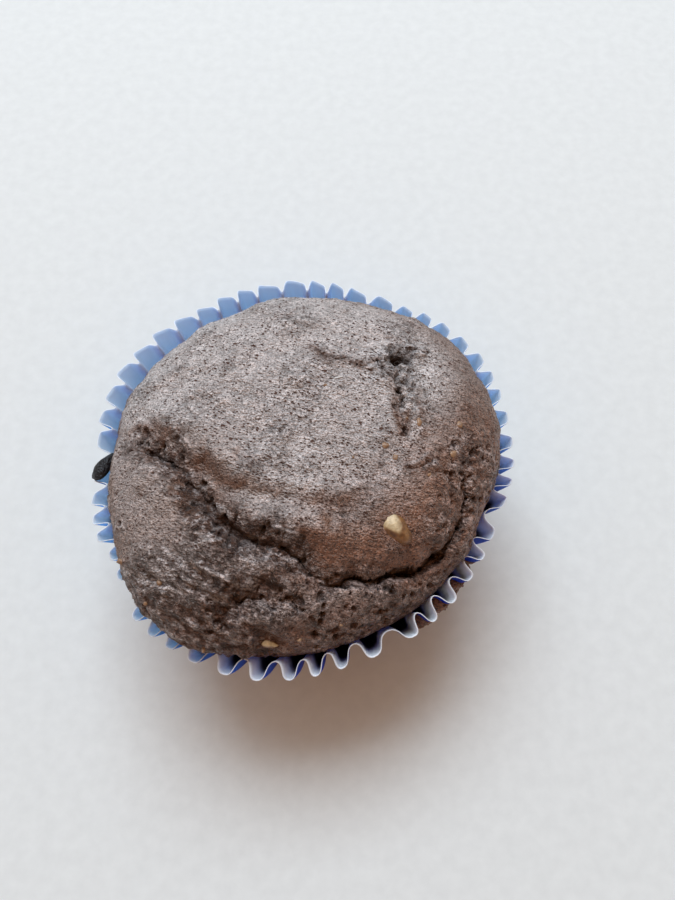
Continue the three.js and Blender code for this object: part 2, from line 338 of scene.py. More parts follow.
# %% The wall's own numbers
PLEATS = len(PLEAT_AT)
rng = np.random.default_rng(7)
PLEAT_SIZE = 1 + rng.normal(0, 0.08, PLEATS)  # how deep each pleat is, as a share
PLEAT_TALL = rng.normal(0, 0.25, PLEATS)  # mm that each pleat's tip stands above its neighbours
STEEPNESS = 0.27  # how upright the flanks stand: 0 is a cosine, 0.5 is upright
TIP_DROP = 0.6  # mm that the outward tips lie lower than the inward ones
PUSHED_IN = np.zeros(PLEATS)  # mm that a tip is pressed in at the rim
PUSHED_IN[[29, 30, 31]] = 0.5, 0.4, 1.8
PINCHED_AT, PINCHED_WIDE = 105, 90  # degrees: the middle of the pinched pleats, and their spread
PINCH = 0.6  # how far the flanks of a pinched valley are drawn together
NARROW = 3.6  # the power that narrows a pinched valley
LOPSIDED = 0.4  # mm that a pinched pleat's tip is pulled to its anticlockwise side
LEANING = [(258, 34, 2.2), (322, 24, -1.0)]  # where, how wide and how far pleats lean, in degrees
LEAN_FROM = 0.12  # the share of the wall's height over which they lean

print("deepest pleat: %.0f%% over the mean" % (100 * PLEAT_SIZE.max() - 100))

# %% The wall of the case


def from_pleat(values, u):
    """Each pleat's own number, blended to the next pleat's with a cosine."""
    whole = np.floor(u).astype(int)
    share = 0.5 - 0.5 * np.cos(math.pi * (u - whole))
    return mix(np.take(values, whole, mode="wrap"), np.take(values, whole + 1, mode="wrap"), share)


def pinched(degrees):
    """How far the valleys are pinched shut at an angle: 1 at the far side, 0 in front."""
    return hill((degrees - PINCHED_AT + 180) % 360 - 180, PINCHED_WIDE)


def wall_angle(u):
    """The angle of pleat number u: even between neighbours, crowded by the steepness, and
    drawn together in the valleys that are pinched."""
    ends = np.array([*PLEAT_AT, PLEAT_AT[0] + 360])
    u = u % PLEATS
    whole = np.floor(u).astype(int)
    pitch = ends[whole + 1] - ends[whole]
    pinch = pinched(ends[whole])
    bend = STEEPNESS * (1 - pinch) * np.sin(2 * TURN * u) + PINCH * pinch * np.sin(TURN * u)
    return np.radians(ends[whole] + pitch * (u - whole + bend / TURN))


def wall_ridge(angle, v):
    """The radius of the ridges at the share v of the wall's height."""
    bow = around(angle, BOW, BOW_WAVES)
    return mix(BASE_RADIUS, ring_values(angle, RIM_WIDE), (1 + bow) * v - bow * v * v)


def wall_depth(angle, v):
    """How far the valleys lie inside the ridges."""
    return around(angle, PLEAT_DEPTH, DEPTH_WAVES) * np.maximum(v, 0) ** PLEAT_FADE


def leaning(angle, v):
    """How far the paper below the rim is turned, because the pleats' ends lean sideways."""
    away = [(np.degrees(angle) - where + 180) % 360 - 180 for where, *_ in LEANING]
    turn = sum(far * hill(gap, wide) for gap, (_, wide, far) in zip(away, LEANING))
    return np.radians(turn) * (1 - np.exp((v - 1) / LEAN_FROM))


def wall_point(u, v):
    """The paper at pleat u and height share v: the ridges' radius less the valleys' depth times
    half of 1 minus the cosine of a turn for each pleat, raised to a power where it is pinched."""
    angle = wall_angle(u)
    pinch = pinched(np.degrees(angle))
    inward = (0.5 - 0.5 * np.cos(TURN * u)) ** mix(1, NARROW, pinch)
    radius = wall_ridge(angle, v) - wall_depth(angle, v) * from_pleat(PLEAT_SIZE, u) * inward
    radius = radius + LOPSIDED * pinch * np.sin(TURN * u) * v * v
    radius = radius - from_pleat(PUSHED_IN, u) * v * v
    angle = angle + leaning(angle, v)
    tip = from_pleat(PLEAT_TALL, u) - TIP_DROP * (1 - inward)
    z = RIM_HEIGHT * v + tip * v**4
    return radius * np.cos(angle), radius * np.sin(angle), z


# %% [markdown]
# The sheet is one skin with the printed side out. A Solidify modifier then gives it a
# thickness, because that also gives the white side and the cut edge materials of their own:
# the skin keeps the first slot, the inner skin takes the second and the edge the third.

# %% The paper sheet
PER_PLEAT = 16  # columns of points
WALL_ROWS = 44
WALL_FROM = 0.02  # the share of the height at which the wall leaves the disc's last ring
DISC_ROWS = [(4, 0), (10, 0), (16, 0), (21, 0), (23.6, 0.02), (24.5, 0.2)]  # radius and height, mm
PAPER_THICK = 0.14  # real paper is 0.06 mm; this still shows as a thin line at the rim


def case_points():
    """Rows of points: a flat disc, then the wall from just over the base to the rim."""
    u = np.arange(PLEATS * PER_PLEAT) / PER_PLEAT
    wall = np.stack(wall_point(*np.meshgrid(u, np.linspace(WALL_FROM, 1, WALL_ROWS))), axis=-1)
    angle = wall_angle(u)
    disc = [np.stack([r * np.cos(angle), r * np.sin(angle), 0 * u + z], -1) for r, z in DISC_ROWS]
    return np.concatenate([np.array(disc), wall])


case_rows = case_points()
print("paper rows and columns:", case_rows.shape[:2])

# %% [markdown]
# ### Finish: greaseproof paper, printed one side
#
# Such paper is thin enough to glow when light comes from behind, so each side is part
# Principled, for the paper's own colour, and part Translucent, for the light that comes
# through. The printed side is a deep blue ink; the white side shows it faintly. The share and
# colour of the light that passes are painted by place. At the far side, where the window shines
# through a single layer, they are a painted light of pale blue. At the front right, where the
# pleats stand close and shade each other, they are a painted shade: little light passes, and
# what does is royal blue.
#
# Where crumb touches the paper, fat has soaked in. It fills the air between the fibres, so the
# paper loses its white and looks as dark as what lies behind it. Only the dry rim stays bright.

# %% Paper finishes
BACK_LEFT = (-0.55, 0.83, 0)  # the way to the side that most of the light comes from
SHADED_TO, LIT_FROM = -33, -12  # mm along that way: the pleats are shaded up to the first
SOAKED_SHARE = 0.15  # the share of light that passes where fat has soaked in


def towards_light(tree, place):
    """How far a place lies to the back left, in metres: its dot product with that way."""
    return add(tree, "VectorMath", [place, BACK_LEFT], operation="DOT_PRODUCT")["Value"]


def paper_finish(name, ink, soaked, lit, shaded, roughness, shine):
    """Paper of the colour `ink`. `lit` and `shaded` each hold the colour of the light that
    passes and its share. Where fat has soaked in, all colours turn to `soaked`."""
    material, tree, out = new_finish(name)
    soak = add(tree, "Attribute", attribute_name="soak")["Fac"]
    place = add(tree, "TexCoord")["Object"]
    fibre = add(tree, "TexNoise", {"Vector": place, "Scale": per_mm(0.7), "Detail": 3.0,
                "Roughness": 0.6})["Fac"]
    cloud = add(tree, "TexNoise", {"Vector": place, "Scale": per_mm(5), "Detail": 2.0})["Fac"]
    tone = add(tree, "MapRange", [cloud, 0.3, 0.7, 0.86, 1.1])[0]
    face = add(tree, "Mix", {0: soak, 6: linear(ink), 7: linear(soaked)}, data_type="RGBA")[2]
    face = add(tree, "HueSaturation", {"Value": tone, "Color": face})[0]
    bump = add(tree, "Bump", {"Height": fibre, "Strength": 0.25, "Distance": 0.05 * MM})[0]
    body = add(tree, "BsdfPrincipled", {"Base Color": face, "Roughness": roughness,
               "Specular IOR Level": shine, "Normal": bump})[0]

    (lit_color, lit_share), (shaded_color, shaded_share) = lit, shaded
    # The passing light is blended by place: painted light at the back left, painted shade at the
    # front right.
    part = add(tree, "MapRange", [towards_light(tree, place), SHADED_TO * MM, LIT_FROM * MM])[0]
    light = linear(shaded_color)
    for amount, color in ((part, lit_color), (soak, soaked)):
        light = add(tree, "Mix", {0: amount, 6: light, 7: linear(color)}, data_type="RGBA")[2]
    glow = add(tree, "BsdfTranslucent", {"Color": light, "Normal": bump})[0]
    share = add(tree, "MapRange", [part, 0, 1, shaded_share, lit_share])[0]
    share = add(tree, "MapRange", [soak, 0, 1, share, SOAKED_SHARE])[0]
    tree.links.new(add(tree, "MixShader", [share, body, glow])[0], out.inputs["Surface"])
    return material


# Each side's first pair is its painted light for the back left, the second its painted shade for the
# front right.
printed = paper_finish("blue_print_on_greaseproof", "#162781", "#16297c", ("#95cbff", 0.88),
                       ("#2761e1", 0.5), roughness=0.45, shine=0.25)
white_side = paper_finish("greaseproof_white_side", "#f7f8f9", "#45506f", ("#f3faff", 0.48),
                          ("#7caaf9", 0.12), roughness=0.6, shine=0.5)
cut_edge = paper_finish("cut_paper_edge", "#f3f5f9", "#272730", ("#e7edff", 0.2),
                        ("#e7edff", 0.15), roughness=0.8, shine=0.5)
print("finishes of the paper:", printed.name, white_side.name, cut_edge.name)

# %% Case piece
SOAK_DROP = [3.5, 4.5, 4.5, 5.5, 3.2, 3.0, 3.0, 5.5]  # mm of dry rim, one for each 45 degrees
SOAK_FADE = 3.5  # mm over which the paper turns from dry to soaked


def soaked_paper(points):
    """How far fat has soaked in: 1 where crumb touches the paper, fading out at a ragged line
    below the rim."""
    line = RIM_HEIGHT - ring_values(np.arctan2(points[:, 1], points[:, 0]), SOAK_DROP)
    return smoothstep((line - points[:, 2] + 1.2 * rough(points, 4, 130, 3)) / SOAK_FADE)


def make_case():
    """The sheet of paper with its thickness, and how soaked it is."""
    rows, columns = case_rows.shape[:2]
    points = np.concatenate([case_rows.reshape(-1, 3), [[0, 0, 0]]])
    faces = [ring_quads(rows, columns), fan(np.arange(columns), rows * columns)]
    made = piece("paper_case_sheet", points, faces, printed, white_side, cut_edge)
    point_values(made, "soak", soaked_paper(points))
    sheet = made.modifiers.new("thickness", "SOLIDIFY")
    sheet.thickness = PAPER_THICK * MM
    sheet.offset = -1
    sheet.material_offset = 1
    sheet.material_offset_rim = 2
    return made


case = make_case()
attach(case, "root")
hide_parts("paper_case")

# %% [markdown]
# ## The crust, as a function of two numbers
#
# The crown is a flattened dome: a superellipse carried round, whose widest radius and lowest
# height follow the two lists above. A grid of rings would crowd its points at the middle, so a
# square grid is bent onto the disc instead: every cell stays about as large as its neighbours,
# and the fine relief has the same fineness everywhere.

# %% A square grid bent onto a disc
GRID = 286  # cells along a side: one is about 0.25 mm wide


def square_on_disc(count):
    """Shares of the radius and angles of a square grid: each square ring becomes a circle,
    and a point's angle is a quarter of pi times the ratio of its two coordinates."""
    line = np.linspace(-1, 1, count + 1)
    a, b = (m.ravel() for m in np.meshgrid(line, line))
    wide = np.abs(a) > np.abs(b)
    safe_a, safe_b = np.where(wide, a, 1), np.where(~wide & (b != 0), b, 1)
    turn = np.where(wide, math.pi / 4 * b / safe_a, math.pi / 2 - math.pi / 4 * a / safe_b)
    radius = np.where(wide, a, b)
    return np.abs(radius), np.arctan2(radius * np.sin(turn), radius * np.cos(turn))


def grid_quads(count):
    """Quads of the square grid, anticlockwise seen from above."""
    row, column = np.meshgrid(np.arange(count), np.arange(count), indexing="ij")
    here = row * (count + 1) + column
    above = here + count + 1
    return np.stack([here, here + 1, above + 1, above], axis=-1).reshape(-1, 4)


def grid_outline(count):
    """The numbers of the grid's outer points, anticlockwise."""
    side = count + 1
    bottom = np.arange(count)
    right = side * np.arange(count) + count
    top = side * count + count - np.arange(count)
    left = side * (count - np.arange(count))
    return np.concatenate([bottom, right, top, left])


# %% [markdown]
# From the crown's widest place the crust rolls under and leaves the paper's valleys alone. The
# skin's profile is measured along its own length, so that the steep shoulder gets as many
# points for each millimetre as the flat top.

# %% The crown's profile
ROLL = 4.5  # mm that the grid reaches down below the crown's widest place
ROLL_IN = 0.4  # the share of that fall in which the crust rolls in to the paper's valleys
VALLEY_ROOM = 0.4  # mm that the crumb stays inside the paper's valleys
VALLEY_DEEPEST = 1.12  # the deepest valleys, as a share of the mean pleat's depth
MEAN_WIDE = np.mean(CROWN_WIDE)
MEAN_RISE = CRUST_TOP - np.mean(CROWN_LOW)
DOME_STEPS, ROLL_STEPS = 400, 100  # straight steps that stand for the mean profile


def valley_radius(angle, z):
    """The paper's valleys at height z, less the room that the crumb leaves."""
    v = np.clip(z / RIM_HEIGHT, 0, 1)
    return wall_ridge(angle, v) - wall_depth(angle, v) * VALLEY_DEEPEST - VALLEY_ROOM


def profile_table():
    """Along the mean profile: the share of the length, the share of the radius, and the fall
    below the widest place as a share of ROLL."""
    over_dome = np.sin(np.linspace(0, math.pi / 2, DOME_STEPS))
    share = np.concatenate([over_dome, np.ones(ROLL_STEPS)])
    fall = np.concatenate([np.zeros(DOME_STEPS), np.linspace(0.01, 1, ROLL_STEPS)])
    high = MEAN_RISE * (1 - share**DOME_POWER) ** (1 / DOME_POWER)
    steps = np.hypot(np.diff(share * MEAN_WIDE), np.diff(high - fall * ROLL))
    length = np.concatenate([[0], np.cumsum(steps)])
    return length / length[-1], share, fall


def crown_point(t, angle):
    """The smooth crust at the share t of the profile's length."""
    length, share_row, fall_row = PROFILE
    share = np.interp(t, length, share_row)
    fall = np.interp(t, length, fall_row)
    low = ring_values(angle, CROWN_LOW)
    wide = ring_values(angle, CROWN_WIDE)
    under = np.minimum(wide, valley_radius(angle, low - fall * ROLL))
    radius = np.where(fall > 0, mix(wide, under, smoothstep(fall / ROLL_IN)), share * wide)
    rise = np.maximum(1 - share**DOME_POWER, 0) ** (1 / DOME_POWER)
    z = mix(low, CRUST_TOP, rise) - fall * ROLL
    return np.stack([radius * np.cos(angle), radius * np.sin(angle), z], axis=-1)


PROFILE = profile_table()
grid_t, grid_angle = square_on_disc(GRID)
smooth_crust = crown_point(grid_t, grid_angle)
print("crown: %.1f mm high, %.1f mm wide" % (smooth_crust[:, 2].max(), np.ptp(smooth_crust[:, 0])))

# %% [markdown]
# ## Folds
#
# While the crown rose, its skin split and slid over itself. Each fold is a line on the crust,
# given by the few points it passes through. Across the line the crust makes a valley with two
# sides of their own widths, drops by a step, and its lips swell and lean out over the valley.
# In the list all sizes are in mm, `upper` and `lower` are the widths of the two sides, and
# `torn` says from 0 to 1 how open the crumb is.
#
# The main fold is a roll: its upper side is a quarter of a circle, as on a rolled hem, and the
# lobe below it swells. That gives the overhanging lip its round edge and its deep shadow.

# %% The lines of the folds
FOLDS = [
    # the main fold, under the crown's overhanging lip
    dict(points=[(25.2, -2.5), (24.4, -6.5), (23.2, -10), (21.3, -13.4), (18.6, -16.3),
                 (15, -17.8), (11, -18.7), (7.2, -18.9), (4, -19.8), (1.2, -21.6)],
         depth=4.8, upper=4.8, lower=1.2, step=3.0, lean=1.7, lip=0.6, torn=1, rounded=True),
    # the ragged crease from the left edge to the main fold
    dict(points=[(4.5, -19.2), (1.6, -17.8), (-3.6, -15.2), (-7.2, -13.6), (-11.3, -10.8),
                 (-14.4, -7.2), (-17, -4), (-20.5, -1.4), (-25, 0.3), (-31, 0.5)],
         depth=3.4, upper=2.8, lower=2.0, step=0.7, lean=0.8, lip=0.7, torn=1),
    # the soft valley across the crown
    dict(points=[(11, -10.4), (5, -10.8), (-1.2, -9.8), (-4.9, -8.9), (-9.8, -7.2),
                 (-13.5, -4.2), (-17, -1)],
         depth=0.6, upper=1.6, lower=1.4, step=0, lean=0.2, lip=0.5, torn=0.1),
    # the crease between the two lower lobes
    dict(points=[(0.4, -22.2), (-1.1, -22.6), (-5.1, -22.3), (-8.2, -23.1), (-11.1, -25),
                 (-12.2, -28.5)],
         depth=2.0, upper=1.6, lower=1.3, step=0.2, lean=0.3, lip=0.5, torn=0.8),
    # torn crumb below the ragged crease, and at its left end
    dict(points=[(-4, -15.6), (-8.5, -14.9), (-12.5, -12.4), (-15.5, -9), (-18, -5)],
         depth=1.0, upper=2.2, lower=2.0, step=0, lean=0, lip=0.1, torn=0.9),
    dict(points=[(-27, 4), (-23.5, 2.6), (-20, 1), (-17, -1.5)],
         depth=0.5, upper=1.2, lower=1.2, step=0, lean=0, lip=0.1, torn=0.3),
    # the ragged crack on the far side
    dict(points=[(-0.6, 15.6), (1.9, 14.7), (4, 13.5), (6.6, 13.1), (9.2, 12.4), (12, 12.8),
                 (14, 14)],
         depth=0.6, upper=0.4, lower=0.35, step=0, lean=0.1, lip=0.1, torn=0.8),
    # the crack that runs forward from the blowhole
    dict(points=[(15.4, 12), (14.9, 10.2), (15.7, 7.8), (15.3, 5.2), (16.1, 2.8), (15.8, -0.4)],
         depth=1.7, upper=0.95, lower=0.8, step=0, lean=0.1, lip=0.12, torn=1),
    # two small slits
    dict(points=[(15.6, -4.8), (17.8, -4.1), (19.8, -2.9)],
         depth=0.8, upper=0.45, lower=0.35, step=0, lean=0.1, lip=0.1, torn=0.8),
    dict(points=[(16.9, 15.2), (18.8, 15.8), (20, 15.4)],
         depth=0.6, upper=0.45, lower=0.4, step=0, lean=0.1, lip=0.1, torn=0.8),
]

print("folds and cracks:", len(FOLDS))

# %% Distance to a curve


def through(points, per_span=12):
    """A Catmull-Rom curve: each span is a cubic whose end slopes are half the way between the
    neighbouring points."""
    p = np.array([points[0], *points, points[-1]], float)
    t = np.linspace(0, 1, per_span, endpoint=False)[:, None]
    spans = []
    for a, b, c, d in zip(p, p[1:], p[2:], p[3:]):
        cubic = c - a + t * (2 * a - 5 * b + 4 * c - d + t * (3 * (b - c) + d - a))
        spans.append(b + 0.5 * t * cubic)
    return np.concatenate([*spans, p[-1:]])


def along(xy, line):
    """For each point: its distance to the line, positive on the left of the way it runs, the
    share of the way along it, and the direction away from it on the left."""
    best = np.full(len(xy), 1e9)
    side = np.ones(len(xy))
    share = np.zeros(len(xy))
    left = np.zeros_like(xy)
    for i in range(len(line) - 1):
        way = line[i + 1] - line[i]
        offset = xy - line[i]
        part = np.clip(offset @ way / (way @ way), 0, 1)
        gap = offset - part[:, None] * way
        distance = np.hypot(gap[:, 0], gap[:, 1])
        closer = distance < best
        best = np.where(closer, distance, best)
        cross = way[0] * offset[:, 1] - way[1] * offset[:, 0]
        side = np.where(closer, np.where(cross < 0, -1, 1), side)
        share = np.where(closer, (i + part) / (len(line) - 1), share)
        normal = np.array([-way[1], way[0]]) / math.hypot(*way)
        left = np.where(closer[:, None], normal, left)
    return best * side, share, left


# %% The folded crust
RAGGED = 1.1  # how far the lines wander, in mm for each unit of noise
FOLD_ENDS = 0.16  # the share of a line over which the fold dies out at each end
STEP_WIDE, STEP_REACH = 1.6, 11  # mm over which the crust steps down, and over which it recovers
LOBE_RISE, LOBE_FROM, LOBE_WIDE = 1.7, 5.2, 3.2  # mm: the lower lobe's swell, place and width
ROLL_WIDE = 1.4  # the width of the rolled side, as a share of `upper`
CLEAN_ROLL = 0.9  # mm of torn crumb on the rolled side, which is nearly all whole skin


def fold_crust(points):
    """The crust with its folds, and how near each point is to one. `d` is the distance to the
    line: the valley is a bell of d, or 1 less the height of a circle's quarter on a rolled
    side, and the step is a soft step of d that fades with the distance."""
    ragged = np.stack([rough(points, 3.2, 11, 3), rough(points, 3.2, 21, 3)], axis=-1)
    xy = points[:, :2] + RAGGED * ragged
    moved = points.copy()
    near = np.zeros(len(points))
    for number, fold in enumerate(FOLDS):
        upper, lower = fold["upper"], fold["lower"]
        d, share, left = along(xy, through(fold["points"]))
        taper = smoothstep(share / FOLD_ENDS) * smoothstep((1 - share) / FOLD_ENDS)
        taper = taper * (1 + 0.5 * noise(points, 4.0, 40 + number))
        if upper < 1:  # a crack: it opens and closes along its way
            taper = taper * np.clip(0.7 + 2.5 * noise(points, 1.4, 50 + number), 0, 1.5)
        side = np.where(d < 0, upper, lower)
        shape = hill(d, side)
        lip = fold["lip"] * (hill(d + 1.6 * upper, upper) + hill(d - 2.4 * lower, lower))
        torn_wide = 1.1 * np.minimum(side, 2) + 0.5
        if fold.get("rounded"):
            away = np.clip(-d / (ROLL_WIDE * upper), 0, 1)
            shape = np.where(d < 0, 1 - np.sqrt(1 - (1 - away) ** 2), shape)
            lip = lip + LOBE_RISE * hill(d - LOBE_FROM, LOBE_WIDE)
            torn_wide = np.where(d < 0, CLEAN_ROLL, torn_wide)
        valley = fold["depth"] * shape * taper
        fall = smoothstep((d + STEP_WIDE / 2) / STEP_WIDE) * np.exp(-np.abs(d) / STEP_REACH)
        lean = fold["lean"] * hill(d + 0.5 * upper, 0.6 * upper) * taper
        moved[:, 2] += lip * taper - valley - fold["step"] * fall * taper
        moved[:, :2] += left * lean[:, None]
        near = np.maximum(near, hill(d, torn_wide) * np.clip(taper, 0, 1) * fold["torn"])
    return moved, near


folded_crust, fold_near = fold_crust(smooth_crust)
print("deepest fold: %.1f mm" % (smooth_crust[:, 2] - folded_crust[:, 2]).max())

# %% [markdown]
# ## Grain and pores
#
# Close up, the crust has three scales: slow swells a few millimetres long, packed grains near
# a millimetre, and pinprick pores where bubbles broke. In the folds, round the blowhole where
# steam broke out, and on the lower right lobe the skin tore and shows the open crumb, with
# larger holes. At the front left it dried into grains and fine wrinkles.
#
# So three numbers are worked out for every point first: how torn the skin is, how grainy, and
# how much it lies at the front left. Each region is a product of soft steps in x and y.

# %% Regions of the skin
BLOWHOLE = (15.2, 14.5)


def past(value, start, over):
    """A soft step: 0 up to `start`, and 1 once the value is `over` more."""
    return smoothstep((value - start) / over)


def beside(points, place):
    """The distance in mm from a place on the crust, seen from above."""
    return np.hypot(points[:, 0] - place[0], points[:, 1] - place[1])


def regions(points, near):
    """How torn and how grainy the skin is, and how far it lies at the front left."""
    x, y = points[:, 0], points[:, 1]
    patch = rough(points, 7, 60, 3)
    front_right = past(-y, 17, 5) * past(x, -1, 5)
    right_edge = past(x, 17, 6) * past(-y, -6, 8)
    front_left = past(0.2 * x - y, 8, 8) * past(-x, -2, 6)
    opened = 1.2 * near + 0.9 * hill(beside(points, BLOWHOLE), 3.4)
    tear = np.clip(opened + 0.8 * front_right + 0.5 * right_edge + 0.5 * patch, 0, 1)
    grainy = np.clip(0.25 + 0.65 * front_left + 0.7 * tear + 0.3 * patch, 0, 1)
    return tear, grainy, front_left


torn, grained, wrinkled = regions(folded_crust, fold_near)
print("torn share of the crust: %.0f%%" % (100 * torn.mean()))

# %% Relief of the skin
HOLE_WIDE, HOLE_DEEP = 1.4, 4.2  # mm
NUT_HOLLOW = (-5.2, -28.4)  # the crust lies lower round the second nut
HOLLOW_WIDE, HOLLOW_DEEP = 1.7, 0.8  # mm


def skin_relief(points, near):
    """The height of the fine relief in mm: swells, wrinkles drawn out to the front left, and
    packed grains, less pores, the blowhole and the hollow; and a painted shade for each point,
    darkest in the torn pores, the blowhole and the deepest part of the folds."""
    x, y, z = points.T
    streak = np.stack([0.5 * x + 0.25 * y, 1.1 * y + 0.55 * x, z], axis=-1)
    swell = 0.5 * rough(points, 9, 70, 2) + 0.4 * rough(points, 4, 72, 2)
    wrinkle = wrinkled * 1.3 * rough(streak, 1.9, 75, 3)
    cobble = grains(points, 1.3, 80) * 0.35 + grains(points, 0.8, 81) * 0.3
    fine = 0.2 * rough(points, 0.8, 82, 2)
    bent = points + 0.5 * np.stack([rough(points, 1.5, 96 + k, 2) for k in range(3)], axis=-1)
    small, large = pits(bent, 1.1, 0.2, 0.6, 0.8, 90), pits(bent, 1.9, 0.3, 1.0, 0.4, 91)
    pores = np.maximum(small, large)
    hole = hill(beside(points, BLOWHOLE) + 1.3 * rough(points, 1.6, 95, 2), HOLE_WIDE)
    hollow = hill(beside(points, NUT_HOLLOW), HOLLOW_WIDE)
    relief = swell + wrinkle + grained * cobble + fine - torn * 1.6 * pores
    relief = relief - HOLE_DEEP * hole - HOLLOW_DEEP * hollow
    # The second value is a painted shade: darkest in the torn pores, the blowhole and the deepest
    # part of the folds.
    return relief, np.clip(1.3 * torn * pores + 1.8 * hole + 0.95 * near**5, 0, 1)


relief_mm, painted_dark_shade = skin_relief(folded_crust, fold_near)
print("relief: %.2f to %.2f mm" % (relief_mm.min(), relief_mm.max()))

# %% [markdown]
# The relief is added along the crust's normals, and fades out below the crown. Where the folds
# and the relief would push crumb through the paper, it is drawn in to the paper's valleys.

# %% The finished crust
CLEAR = 0.35  # mm that the crust may reach past the valleys' radius, which has room to spare
FADE_FROM, FADE_OVER, FADED = 0.9, 0.08, 0.8  # shares of the profile's length, and of the relief


def kept_inside(points):
    """The crust held inside the paper: below the rim, what lies past the pleats is drawn in."""
    flat = np.maximum(np.hypot(points[:, 0], points[:, 1]), 1)
    valleys = valley_radius(np.arctan2(points[:, 1], points[:, 0]), points[:, 2])
    over = np.maximum(flat - valleys - CLEAR, 0) * smoothstep(RIM_HEIGHT - points[:, 2])
    return points * np.stack([1 - over / flat, 1 - over / flat, np.ones(len(points))], axis=-1)


faces_top = grid_quads(GRID)
crust_normals = normals_of(folded_crust, [faces_top])
under_rim = 1 - FADED * past(grid_t, FADE_FROM, FADE_OVER)
crust_points = kept_inside(folded_crust + crust_normals * (relief_mm * under_rim)[:, None])
print("highest point: %.1f mm" % crust_points[:, 2].max())

# %% [markdown]
# A whole skin has a film of fat, and its sheen where it faces the window or the ceiling is
# painted into its colour as a pale painted sheen. The painted sheen is weaker in the folds, in
# front and at the lower left, where the skin is rough, and stronger round the blowhole and on
# the crest of the lower lobe, as painted highlights. The flank that faces forward below the
# folds faces away from the window, and is painted in shade with the torn crumb's warmer colour
# and part of the pores' dark colour.

# %% Painted sheen and painted shade on the flanks
# The painted sheen follows how the skin faces these two directions; the bright spot and the crest
# are painted highlights.
TO_WINDOW, TO_CEILING = (-0.35, 0.45, 0.82), (-0.3, 0.12, 0.946)
BRIGHT_SPOT, SPOT_WIDE = (18, 13), 7  # mm
LOBE_CREST = [(-4, -24.6), (0, -23.9), (4, -23), (8, -22), (12, -21.2)]
CREST_WIDE = 2.1  # mm


def sheen(points, normals, near):
    """How strong the painted sheen is: a soft step of the cosine to each bright direction, times
    one for each region, with painted highlights round the blowhole and along the lobe's crest."""
    x, y = points[:, 0], points[:, 1]
    to_window = past(normals @ TO_WINDOW, 0.62, 0.34)
    to_ceiling = past(normals @ TO_CEILING, 0.72, 0.24)
    pale = np.maximum(to_window, to_ceiling) * (1 - 0.65 * near)
    pale = pale * mix(0.5, 1, past(y, -18, 13))
    pale = pale + 0.8 * hill(beside(points, BRIGHT_SPOT), SPOT_WIDE)
    pale = pale * (1 - 0.38 * past(-x, 6, 6) * past(-y, -6, 10))
    crest = np.abs(along(points[:, :2], through(LOBE_CREST))[0])
    return pale + 0.9 * hill(crest, CREST_WIDE) * (1 - near)


painted_sheen = sheen(folded_crust, crust_normals, fold_near)
# Painted shade on the flank that faces forward below the folds: it takes 0.8 of the torn colour and
# 0.35 of the pit colour.
shaded_flank = past(-crust_normals[:, 1], 0.3, 0.4) * past(-folded_crust[:, 1], 8, 5)
torn, painted_dark_shade = np.maximum(torn, 0.8 * shaded_flank), np.maximum(painted_dark_shade, 0.35 * shaded_flank)
print("pale share of the crust: %.0f%%" % (100 * np.clip(painted_sheen, 0, 1).mean()))

# %% [markdown]
# Below the crown the crumb fills the case. Only a strip of it can be seen between the pleats,
# so it is carried down in a few coarse rings and closed with a flat bottom.

# %% Closing the crumb
SIDE_ROWS = 8
CRUMB_FLOOR = 0.6  # mm from the case's base to the crumb's flat bottom
SIDE_ROOM = 0.1  # mm more room than the crust leaves


def crumb_below(edge_points):
    """Rings from the crust's lower edge to the bottom, each just inside the paper."""
    angle = np.arctan2(edge_points[:, 1], edge_points[:, 0])
    rings = []
    for k in range(1, SIDE_ROWS + 1):
        z = mix(edge_points[:, 2], CRUMB_FLOOR, k / SIDE_ROWS)
        radius = valley_radius(angle, z) - SIDE_ROOM
        rings.append(np.stack([radius * np.cos(angle), radius * np.sin(angle), z], axis=-1))
    return np.concatenate(rings)


outline = grid_outline(GRID)
below = crumb_below(crust_points[outline])
crumb_points = np.concatenate([crust_points, below, [[0, 0, CRUMB_FLOOR]]])
first_below = len(crust_points)
top_ring = first_below + np.arange(len(outline))
last_ring = top_ring + (SIDE_ROWS - 1) * len(outline)
joint = np.stack([top_ring, np.roll(top_ring, -1), np.roll(outline, -1), outline], axis=-1)
side = ring_quads(SIDE_ROWS, len(outline), first_below)[:, ::-1]
bottom = fan(last_ring, len(crumb_points) - 1)
print("crumb points:", len(crumb_points))

# %% [markdown]
# ### Finish: cocoa crumb
#
# Cocoa crumb is nearly black-brown where it is dense and a warmer brown where it is torn open.
# The skin has a film of fat, so the light of a window lies on it as a grey sheen full of tiny
# glints; part of that comes from the gloss, and part is painted into the colour as painted
# sheen and painted glints. What is finer than the mesh is made here, from patterns of the real
# sizes: clumps of crumb near 2 mm, lumps of 0.6 mm and beads of 0.3 mm packed side by side, and
# dust on them.
# The crumb was stretched as it rose, so the patterns are longer one way than the other, and a
# finer noise bends them.
#
# Pinprick pores are the places where the skin cuts a scatter of small balls. They crowd in
# some patches and are rare in others, as bubbles are in batter.

# %% Patterns of the crumb
FLOW_TURN, FLOW_STRETCH = -20, (1.45, 0.85, 1)  # degrees about z, and how long the patterns are
BEND = 0.45  # mm


def scatter(tree, place, spacing, radius, share):
    """1 inside small balls about `spacing` mm apart with a soft edge at `radius` mm, in the
    given share of the cells, else 0."""
    cells = add(tree, "TexVoronoi", {"Vector": place, "Scale": per_mm(spacing)})
    edge = [0.8 * radius / spacing, 1.1 * radius / spacing]
    inside = add(tree, "MapRange", [cells["Distance"], *edge, 1, 0])[0]
    lot = add(tree, "SeparateColor", [cells["Color"]])[0]
    held = add(tree, "Math", [lot, share], operation="LESS_THAN")[0]
    return add(tree, "Math", [inside, held], operation="MULTIPLY")[0]


